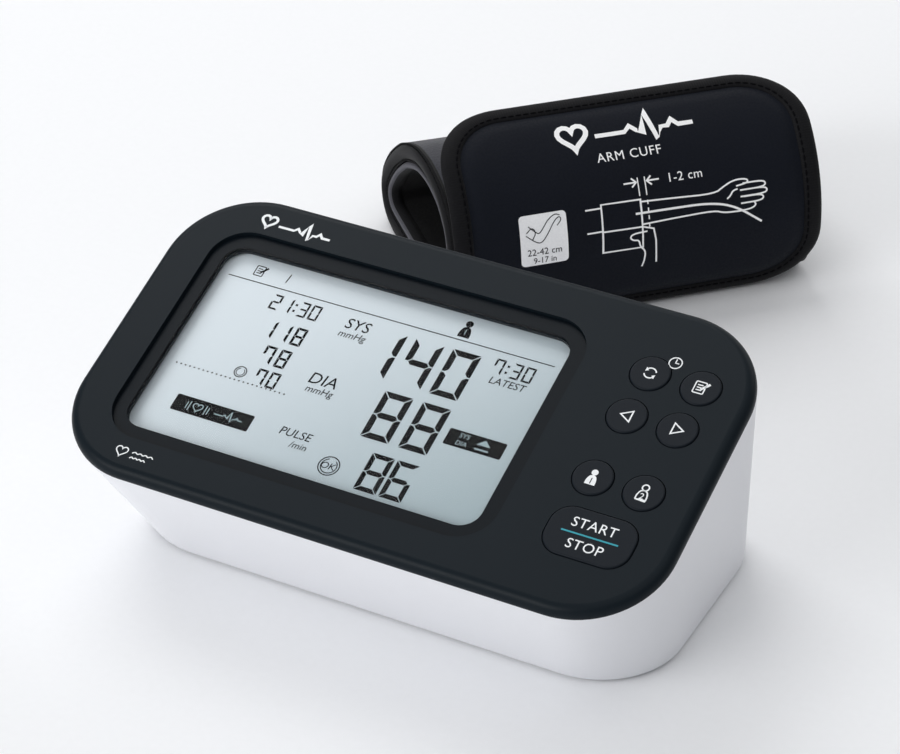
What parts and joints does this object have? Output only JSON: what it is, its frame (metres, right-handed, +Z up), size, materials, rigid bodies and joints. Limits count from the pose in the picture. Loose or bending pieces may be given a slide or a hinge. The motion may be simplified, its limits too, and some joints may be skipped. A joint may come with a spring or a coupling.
{
  "type": "upper-arm blood pressure monitor with arm cuff",
  "caption": "Home blood pressure monitor: white wedge base, black sloping face with a large segment display and buttons, and a rolled dark arm cuff beside it.",
  "frame": {"origin": "middle of the whole part's footprint, on the surface it stands on", "axes": "+Z up; the monitor faces -Y and its right side is +X; the cuff stands behind it, its own axis turned 45 degrees from +X towards +Y"},
  "size_m": [0.2042, 0.3216, 0.083],
  "materials": {
    "white_case": "fine satin texture",
    "black_cover": "fine satin texture",
    "button_plastic": "satin, printed symbols",
    "clear_lens": "polished",
    "gasket_foam": "closed-cell foam",
    "lcd_glass": "pale reflective segment display",
    "frame_plastic": "moulded",
    "strip_rubber": "striped elastomer",
    "circuit_board": "solder mask",
    "switch_black": "moulded",
    "chip_black": "moulded epoxy",
    "shield_steel": "stamped",
    "component_body": "mixed component bodies",
    "sensor_plastic": "moulded",
    "tray_plastic": "moulded",
    "cell_wrap": "plain shrink sleeve",
    "contact_steel": "nickel plated",
    "screw_steel": "zinc plated",
    "foot_rubber": "matt",
    "motor_steel": "drawn can",
    "pump_plastic": "moulded",
    "crank_brass": "turned",
    "cradle_foam": "soft foam",
    "valve_steel": "turned",
    "jack_plastic": "moulded",
    "tube_silicone": "translucent",
    "outer_fabric": "brushed loop pile",
    "lining_fabric": "woven nylon",
    "bladder_film": "welded film",
    "curl_sheet": "rolled plastic sheet",
    "port_plastic": "moulded",
    "binding_tape": "ribbed edge tape",
    "printed_fabric": "fine woven nylon with white print",
    "hook_tape": "moulded hooks"
  },
  "bodies": {
    "monitor": {"lower_case": "white_case", "upper_cover": "black_cover", "rubber_feet": "foot_rubber", "case_screws": "screw_steel", "display_lens": "clear_lens", "lens_gasket": "gasket_foam", "lcd_panel": "lcd_glass", "lcd_frame": "frame_plastic", "lcd_connector_strip": "strip_rubber", "main_board": "circuit_board", "board_screws": "screw_steel", "tact_switches": "switch_black", "controller_chip": "chip_black", "radio_module": "shield_steel", "board_components": "component_body", "pressure_sensor": "sensor_plastic", "button_guide": "frame_plastic", "battery_tray": "tray_plastic", "battery_cells": "cell_wrap", "battery_springs": "contact_steel", "battery_contacts": "contact_steel", "pump_motor": "motor_steel", "pump_head": "pump_plastic", "pump_cradle": "cradle_foam", "exhaust_valve": "valve_steel", "valve_spring": "contact_steel", "air_manifold": "pump_plastic", "air_jack": "jack_plastic", "power_jack": "jack_plastic", "air_tubes": "tube_silicone"},
    "cuff": {"cuff_outer_cover": "outer_fabric", "air_bladder": "bladder_film", "curl_plate": "curl_sheet", "cuff_inner_lining": "lining_fabric", "cuff_inner_turn": "lining_fabric", "cuff_air_port": "port_plastic", "flap_seam_strip": "binding_tape"},
    "cuff_flap": {"flap_panel": "printed_fabric", "hook_patch": "hook_tape"},
    "button_sync": {"button_sync": "button_plastic"},
    "button_memory": {"button_memory": "button_plastic"},
    "button_previous": {"button_previous": "button_plastic"},
    "button_next": {"button_next": "button_plastic"},
    "button_user_1": {"button_user_1": "button_plastic"},
    "button_user_2": {"button_user_2": "button_plastic"},
    "button_start_stop": {"button_start_stop": "button_plastic"},
    "pump_crank": {"pump_crank": "crank_brass"},
    "valve_plunger": {"valve_plunger": "valve_steel"},
    "battery_cover": {"battery_cover": "white_case"}
  },
  "joints": [
    {"name": "press_sync", "type": "slide", "parent": "monitor", "child": "button_sync", "axis": [0, 0.3576, -0.9339], "range_m": [0, 0.0007], "stiffness_N_per_m": 1500},
    {"name": "press_memory", "type": "slide", "parent": "monitor", "child": "button_memory", "axis": [0, 0.3576, -0.9339], "range_m": [0, 0.0007], "stiffness_N_per_m": 1500},
    {"name": "press_previous", "type": "slide", "parent": "monitor", "child": "button_previous", "axis": [0, 0.3576, -0.9339], "range_m": [0, 0.0007], "stiffness_N_per_m": 1500},
    {"name": "press_next", "type": "slide", "parent": "monitor", "child": "button_next", "axis": [0, 0.3576, -0.9339], "range_m": [0, 0.0007], "stiffness_N_per_m": 1500},
    {"name": "press_user_1", "type": "slide", "parent": "monitor", "child": "button_user_1", "axis": [0, 0.3576, -0.9339], "range_m": [0, 0.0007], "stiffness_N_per_m": 1500},
    {"name": "press_user_2", "type": "slide", "parent": "monitor", "child": "button_user_2", "axis": [0, 0.3576, -0.9339], "range_m": [0, 0.0007], "stiffness_N_per_m": 1500},
    {"name": "press_start_stop", "type": "slide", "parent": "monitor", "child": "button_start_stop", "axis": [0, 0.3576, -0.9339], "range_m": [0, 0.0007], "stiffness_N_per_m": 1500},
    {"name": "pump_turn", "type": "hinge", "parent": "monitor", "child": "pump_crank", "pos_m": [0.04264, -0.07469, 0.024], "axis": [1, 0, 0], "continuous": true},
    {"name": "valve_stroke", "type": "slide", "parent": "monitor", "child": "valve_plunger", "axis": [0, 0, -1], "range_m": [0, 0.0008], "stiffness_N_per_m": 300, "deforming": ["valve_spring"]},
    {"name": "battery_cover_release", "type": "slide", "parent": "monitor", "child": "battery_cover", "axis": [0, 0, -1], "range_m": [0, 0.03]},
    {"name": "cuff_lift", "type": "slide", "parent": "monitor", "child": "cuff", "axis": [0, 0, 1], "range_m": [0, 0.15]},
    {"name": "flap_open", "type": "hinge", "parent": "cuff", "child": "cuff_flap", "pos_m": [0.00393, 0.05472, 0.0003], "axis": [0.7071, 0.7071, 0], "range_deg": [0, 55]}
  ]
}
